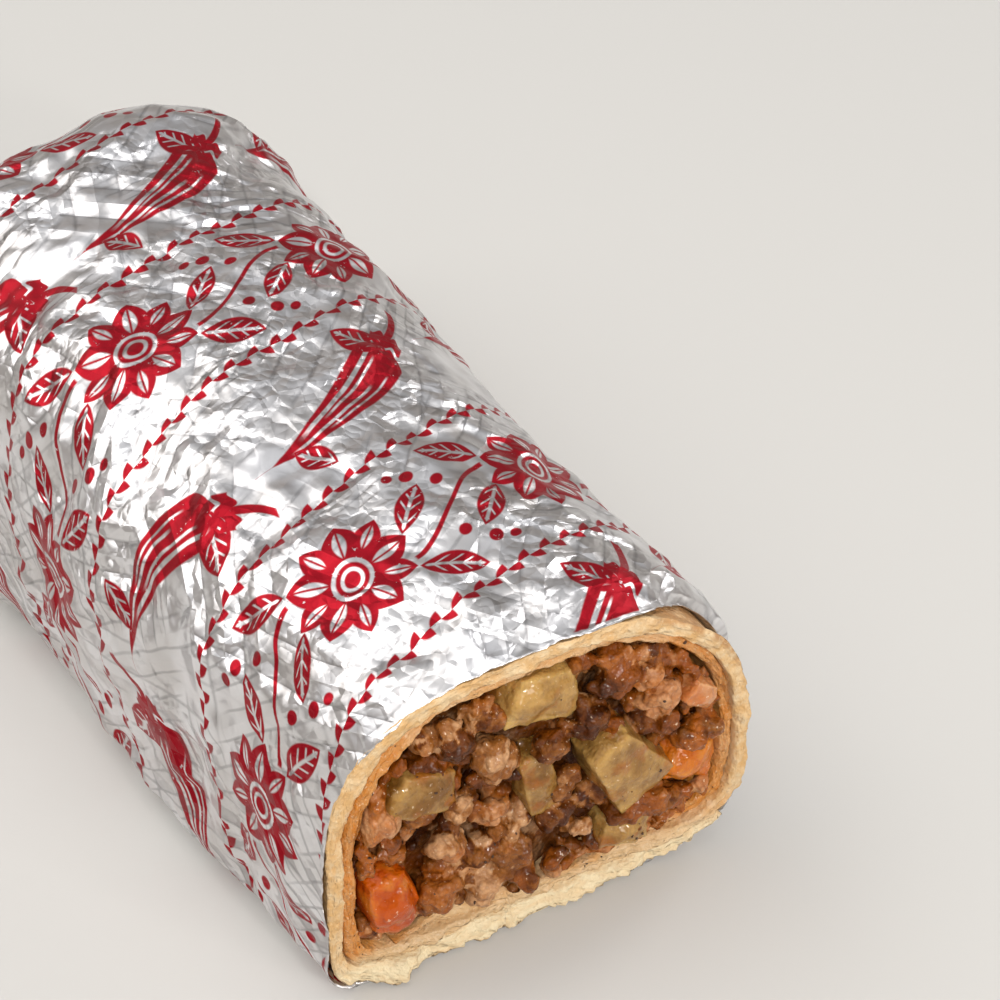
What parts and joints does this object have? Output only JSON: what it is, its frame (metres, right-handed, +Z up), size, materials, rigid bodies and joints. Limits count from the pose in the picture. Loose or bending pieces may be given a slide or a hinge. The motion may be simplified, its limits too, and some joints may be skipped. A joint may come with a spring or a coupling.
{
  "type": "burrito",
  "caption": "Half of a foil-wrapped burrito, cut across: a rolled flour tortilla filled with minced beef, potato and carrot, lying on its side with the cut end open.",
  "frame": {"origin": "middle of the footprint, on the surface that the half lies on", "axes": "+Y along the half, away from its cut towards the folded end; +X across it; +Z up"},
  "size_m": [0.0668, 0.1342, 0.0505],
  "materials": {
    "foil": "crumpled bright foil with a red print",
    "tortilla": "soft matt dough, toasted in spots",
    "mince": "moist, oily crumbs",
    "potato": "moist, waxy",
    "carrot": "moist",
    "tomato": "wet, sauce-coated",
    "onion": "wet, half clear"
  },
  "bodies": {
    "root": {"foil_wrap": "foil", "flour_tortilla": "tortilla", "minced_beef": "mince", "potato_top": "potato", "potato_kite": "potato", "potato_left": "potato", "potato_middle": "potato", "potato_low": "potato", "carrot_piece": "carrot", "tomato_piece": "tomato", "onion_piece": "onion"}
  },
  "joints": []
}
